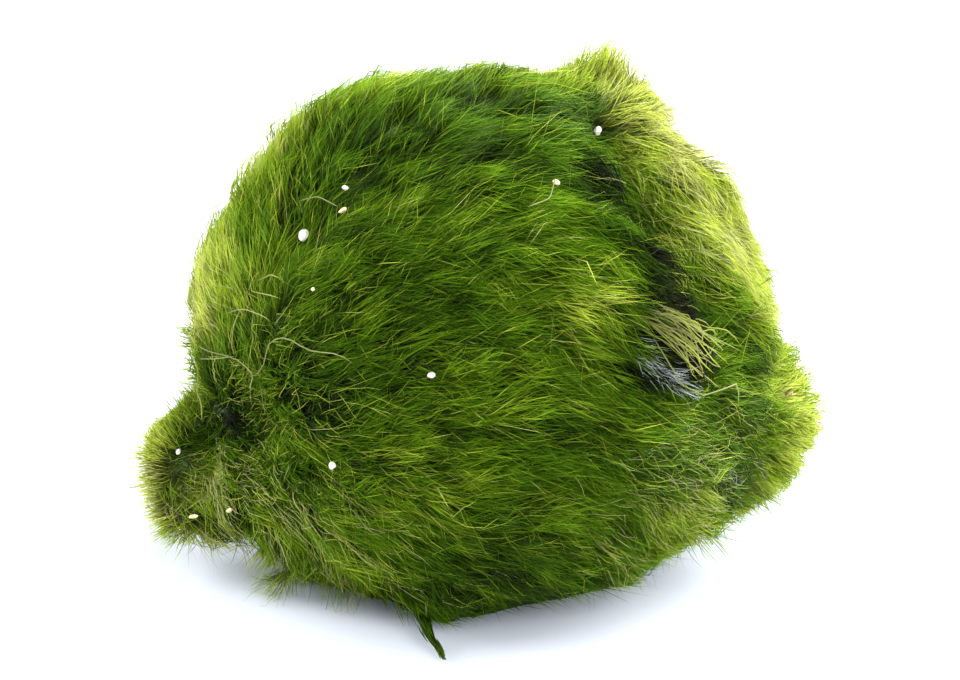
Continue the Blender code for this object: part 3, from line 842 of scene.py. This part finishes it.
class MOSSBALL_OT_coat(bpy.types.Operator):
    """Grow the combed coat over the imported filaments"""

    bl_idname = "mossball.coat"
    bl_label = "Coat"

    def execute(self, context):
        packed = made("packed_filaments")
        surface = tree_of(packed.data)
        coat = context.scene.moss_ball_coat
        rng = np.random.default_rng(11)
        layers = []
        for count, per, thick, way in (
            (coat.locks, coat.lock_strands, 1.0, LOCK_WAY),
            (coat.undercoat, 8, 0.95, UNDERCOAT_WAY),
            (coat.fuzz, 1, 0.72, FUZZ_WAY),
        ):
            starts = spread(packed.data, count, rng)
            routes, sideways, tones, roots = grow(surface, starts, per, (0.0, 0.5, 1.0), way, rng)
            radii = coat.radius * thick * np.ones((len(routes), 1)) * np.array((1.0, 0.9, 0.0))
            radii *= 1 + rng.normal(size=(len(routes), 1)) * 0.22
            bent = rng.random(len(routes)) < way["bent"]
            layers.append((keep_off_floor(routes, radii), radii, sideways, tones, roots, ~bent))
        routes, radii, sideways, tones, roots, fine = (np.concatenate(part) for part in zip(*layers))
        latitude = np.degrees(np.arcsin(roots[:, 2]))
        longitude = np.degrees(np.arctan2(roots[:, 0], -roots[:, 1]))
        sector = np.floor(((longitude + SECTOR / 2) % 360) / SECTOR).astype(int)
        groups = {"crown": latitude > CROWN_LATITUDE}
        for number, place in enumerate(("front", "right", "back_right", "back_left", "left")):
            groups[place] = (latitude <= CROWN_LATITUDE) & (sector == number)
        for name, chosen in groups.items():
            for layer, kept, knots in (("coat_", ~fine, [0, 1, 2]), ("fine_coat_", fine, [0, 2])):
                these = chosen & kept
                ends = 0.0 if len(knots) > 2 else 1.0
                thick = radii[these][:, knots] * ([ends] + [1.0] * (len(knots) - 1))
                strands(layer + name, routes[these][:, knots], thick, sideways[these], tones[these])
        return {"FINISHED"}


class MOSSBALL_OT_long_filaments(bpy.types.Operator):
    """Lay longer, looser filaments over the coat, and the short strands of painted glint"""

    bl_idname = "mossball.long_filaments"
    bl_label = "Long filaments"

    def execute(self, context):
        packed = made("packed_filaments")
        coat = context.scene.moss_ball_coat
        rng = np.random.default_rng(23)
        surface = tree_of(packed.data)
        starts = spread(packed.data, LOOSE_EVERYWHERE, rng)
        tones = np.full(len(starts), np.nan)
        for x, y, wide, tone, count in LOOSE:
            starts = np.concatenate((starts, scattered(x, y, wide, count, rng)))
            tones = np.concatenate((tones, tone + rng.normal(size=count) * 0.06))
        knots = (0.0, 0.2, 0.4, 0.6, 0.8, 1.0)
        routes, sideways, grown_tones, _ = grow(surface, starts, 1, knots, LOOSE_WAY, rng)
        tones = np.minimum(np.where(np.isnan(tones), grown_tones, tones), 0.92)
        routes[:, 1:-1] += rng.normal(size=routes[:, 1:-1].shape) * 0.02 * MM
        radii = tapered(len(routes), coat.radius * 0.52, (0.0, 1.0, 1.0, 0.9, 0.7, 0.0))
        strands(
            "long_filaments", keep_off_floor(routes, radii), radii, sideways, tones,
            spots=np.linspace(0.25, 0.80, len(knots)),
        )
        starts = np.concatenate([scattered(*painted_glint, rng) for painted_glint in PAINTED_GLINTS])
        routes, sideways, _, _ = grow(surface, starts, 1, (0.0, 0.5, 1.0), PAINTED_GLINT_WAY, rng)
        radii = tapered(len(routes), coat.radius * 0.65, (0.0, 1.0, 0.0))
        # Painted reflection: tones at the palette's bluish white end
        tones = 0.97 + rng.random(len(routes)) * 0.02
        strands("wet_glints", routes, radii, sideways, tones)
        return {"FINISHED"}


class MOSSBALL_OT_tufts(bpy.types.Operator):
    """Stand the tufts of the crown, the lip, the lobe and the rims off the coat"""

    bl_idname = "mossball.tufts"
    bl_label = "Standing tufts"

    def execute(self, context):
        coat = context.scene.moss_ball_coat
        rng = np.random.default_rng(31)
        knots = np.array((0.0, 0.3, 0.65, 1.0))[None, :, None]
        routes, sideways, tones = [], [], []
        for x, y, angle, lift, length, tone, count in TUFTS:
            pixels = np.array((x, y)) + rng.normal(size=(count, 2)) * TUFT_SPREAD
            for pixel in pixels:
                place, normal = on_ball(*pixel)
                flat = drawn(angle + rng.normal() * 20, normal)
                up = math.radians(np.clip(lift + rng.normal() * 12, 0, 80))
                run = length * MM * np.exp(rng.normal() * 0.22)
                t = knots[0]
                route = place - normal * TUFT_ROOT
                route = route + flat * run * math.cos(up) * t
                route = route + normal * (0.7 * MM + run * math.sin(up)) * (1 - (1 - t) ** 1.5)
                routes.append(route)
                sideways.append(np.cross(normal, flat))
                tones.append(tone + rng.normal() * 0.05)
        routes = np.array(routes)
        radii = tapered(len(routes), coat.radius * 0.6, (0.0, 1.0, 0.8, 0.0))
        strands(
            "standing_tufts", keep_off_floor(routes, radii), radii, unit(np.array(sideways)),
            np.minimum(tones, PALE_LIMIT),
        )
        return {"FINISHED"}


class MOSSBALL_OT_threads(bpy.types.Operator):
    """Lay the root-like threads, the straw-coloured bundle and the wisp at the foot"""

    bl_idname = "mossball.threads"
    bl_label = "Threads, bundle and wisp"

    def execute(self, context):
        rng = np.random.default_rng(5)
        knots = 14
        routes = np.array([laid(line, knots, THREAD_RISE) for line in THREADS])
        radii = tapered(len(routes), THREAD_RADIUS, [0.0] + [1.0] * (knots - 3) + [0.6, 0.0])
        out = unit(routes[:, 0] - BALL_MIDDLE)
        sideways = unit(np.cross(out, routes[:, -1] - routes[:, 0]))
        tones = 0.88 + rng.random(len(routes)) * 0.04
        spots = np.linspace(0.30, 0.50, knots)
        strands("root_threads", routes, radii, sideways, tones, sides=6, spots=spots)

        knots = 8
        lines = [laid(line, knots, 0.0) for line in BUNDLE]
        routes = []
        for _ in range(BUNDLE_STRANDS):
            at = rng.random() * (len(lines) - 1.001)
            share = at % 1
            route = lines[int(at)] * (1 - share) + lines[int(at) + 1] * share
            t = np.linspace(0, 1, knots)[:, None]
            out = unit(route - BALL_MIDDLE)
            route = route + out * (0.15 + 0.9 * rng.random() * np.sin(np.pi * t) ** 0.8) * MM
            route = route + rng.normal(size=3) * 0.6 * MM * t + rng.normal(size=3) * 0.35 * MM
            wave = np.sin(t * (5 + 5 * rng.random()) + rng.random() * 6)
            route = route + wave * rng.normal(size=3) * 0.28 * MM
            routes.append(route[0] + (route - route[0]) * (0.8 + 0.3 * rng.random()))
        routes = np.array(routes)
        shape = np.array([0.0] + [1.0] * (knots - 3) + [0.7, 0.0])
        radii = BUNDLE_RADIUS * shape * (0.7 + 0.5 * rng.random((len(routes), 1)))
        sideways = unit(np.cross(unit(routes[:, 0] - BALL_MIDDLE), routes[:, -1] - routes[:, 0]))
        tones = 0.84 + rng.random(len(routes)) * 0.07
        spots = np.linspace(0.25, 0.60, knots)
        strands("straw_bundle", routes, radii, sideways, tones, sides=4, spots=spots)

        line = np.array(WISP)
        spans = np.linspace(0, 1, len(line))
        t = np.array((0.0, 0.35, 0.7, 1.0))
        routes = []
        for _ in range(WISP_STRANDS):
            start = rng.random() * 0.75
            stretch = 0.2 + 0.15 * rng.random()
            at = np.minimum(start + stretch * t, 1.0)
            route = np.stack([np.interp(at, spans, line[:, axis]) for axis in range(3)], 1)
            width = np.interp(at, spans, line[:, 3])[:, None]
            beside = rng.normal(size=2) * 0.5
            route[:, 0] += (beside[0] * width[:, 0]) + rng.normal() * 0.12 * t
            route[:, 2] += np.abs(beside[1]) * width[:, 0] * 0.9 - 0.3 * width[:, 0]
            routes.append(route * MM)
        routes = np.array(routes)
        radii = tapered(len(routes), WISP_RADIUS, (0.0, 1.0, 0.8, 0.0))
        sideways = np.tile((1.0, 0.0, 0.0), (len(routes), 1))
        tones = 0.36 + rng.normal(size=len(routes)) * 0.09
        strands("foot_wisp", keep_off_floor(routes, radii), radii, sideways, tones)
        return {"FINISHED"}


class MOSSBALL_OT_grains(bpy.types.Operator):
    """Put the sand grains, the flakes and the seed in the coat"""

    bl_idname = "mossball.grains"
    bl_label = "Grains"

    def execute(self, context):
        for number, (name, (pixel, size, turn, finish)) in enumerate(GRAINS.items()):
            place, normal = on_ball(*pixel)
            bm = bmesh.new()
            bmesh.ops.create_icosphere(bm, subdivisions=3, radius=0.5)
            for vertex in bm.verts:
                bump = noise.noise(vertex.co * 2.6 + Vector((number * 5.1, 0, 0)))
                vertex.co *= 1 + 0.22 * bump
            bmesh.ops.scale(bm, verts=bm.verts, vec=[side * MM for side in size])
            out = Vector(normal)
            across = (RIGHT - out * RIGHT.dot(out)).normalized()
            frame_of = Matrix((across, out.cross(across), out)).transposed().to_4x4()
            move = Matrix.Translation(Vector(place) + out * GRAIN_RISE)
            spin = Matrix.Rotation(math.radians(turn), 4, "Z")
            bmesh.ops.transform(bm, matrix=move @ frame_of @ spin, verts=bm.verts)
            mesh = mesh_from(bm, name, grain_material(finish))
            mesh.shade_smooth()
            piece = put(name, mesh)
            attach(piece, BODY)
        return {"FINISHED"}


class MOSSBALL_OT_studio(bpy.types.Operator):
    """Set up the pale floor, the soft light and the photograph's camera"""

    bl_idname = "mossball.studio"
    bl_label = "Studio"

    def execute(self, context):
        studio = context.scene.moss_ball_studio
        bm = bmesh.new()
        bmesh.ops.create_grid(bm, x_segments=1, y_segments=1, size=FLOOR_HALF)
        material = new_material("matt_white_board")
        skin = add_node(material, "BsdfPrincipled", {"Base Color": studio.floor, "Roughness": 0.7})
        add_node(material, "OutputMaterial", {"Surface": skin.outputs["BSDF"]})
        floor = put("floor", mesh_from(bm, "floor", material))

        world = bpy.data.worlds.new("studio")
        context.scene.world = world
        world.use_nodes = True
        sky = world.node_tree.nodes["Background"]
        sky.inputs["Color"].default_value = linear("#f8fbff")
        sky.inputs["Strength"].default_value = studio.sky

        for name, (place, size, power) in LIGHTS.items():
            lamp = bpy.data.lights.new(name, "AREA")
            lamp.energy = getattr(studio, power)
            lamp.size = size
            light = put(name, lamp)
            light.location = place
            light.rotation_euler = (AIM - light.location).to_track_quat("-Z", "Y").to_euler()

        lens = bpy.data.cameras.new("camera")
        lens.lens = CAMERA_LENS
        lens.sensor_width = CAMERA_SENSOR
        lens.clip_start = 0.01
        camera = put("camera", lens)
        camera.location = CAMERA_PLACE
        camera.rotation_euler = (math.radians(90 - VIEW_ELEVATION), 0, 0)
        context.scene.camera = camera
        context.scene.view_settings.view_transform = "Standard"
        return {"FINISHED"}


class MOSSBALL_PT_panel(bpy.types.Panel):
    """Lists the moss ball's settings and the steps that make its pieces"""

    bl_label = "Moss Ball"
    bl_idname = "MOSSBALL_PT_panel"
    bl_space_type = "VIEW_3D"
    bl_region_type = "UI"
    bl_category = "Moss Ball"

    def draw(self, context):
        for group in (context.scene.moss_ball_coat, context.scene.moss_ball_studio):
            for name in group.bl_rna.properties.keys():
                if name not in ("rna_type", "name"):
                    self.layout.prop(group, name)
        for step in STEPS:
            self.layout.operator("mossball." + step)


STEPS = ("packed_filaments", "coat", "tufts", "long_filaments", "threads", "grains", "studio")
CLASSES = (
    MossBallCoat,
    MossBallStudio,
    MOSSBALL_OT_packed_filaments,
    MOSSBALL_OT_coat,
    MOSSBALL_OT_tufts,
    MOSSBALL_OT_long_filaments,
    MOSSBALL_OT_threads,
    MOSSBALL_OT_grains,
    MOSSBALL_OT_studio,
    MOSSBALL_PT_panel,
)


def register():
    for cls in CLASSES:
        bpy.utils.register_class(cls)
    bpy.types.Scene.moss_ball_coat = bpy.props.PointerProperty(type=MossBallCoat)
    bpy.types.Scene.moss_ball_studio = bpy.props.PointerProperty(type=MossBallStudio)


def unregister():
    del bpy.types.Scene.moss_ball_studio
    del bpy.types.Scene.moss_ball_coat
    for cls in reversed(CLASSES):
        bpy.utils.unregister_class(cls)


def main():
    register()
    for step in STEPS:
        getattr(bpy.ops.mossball, step)()


if __name__ == "__main__":
    main()
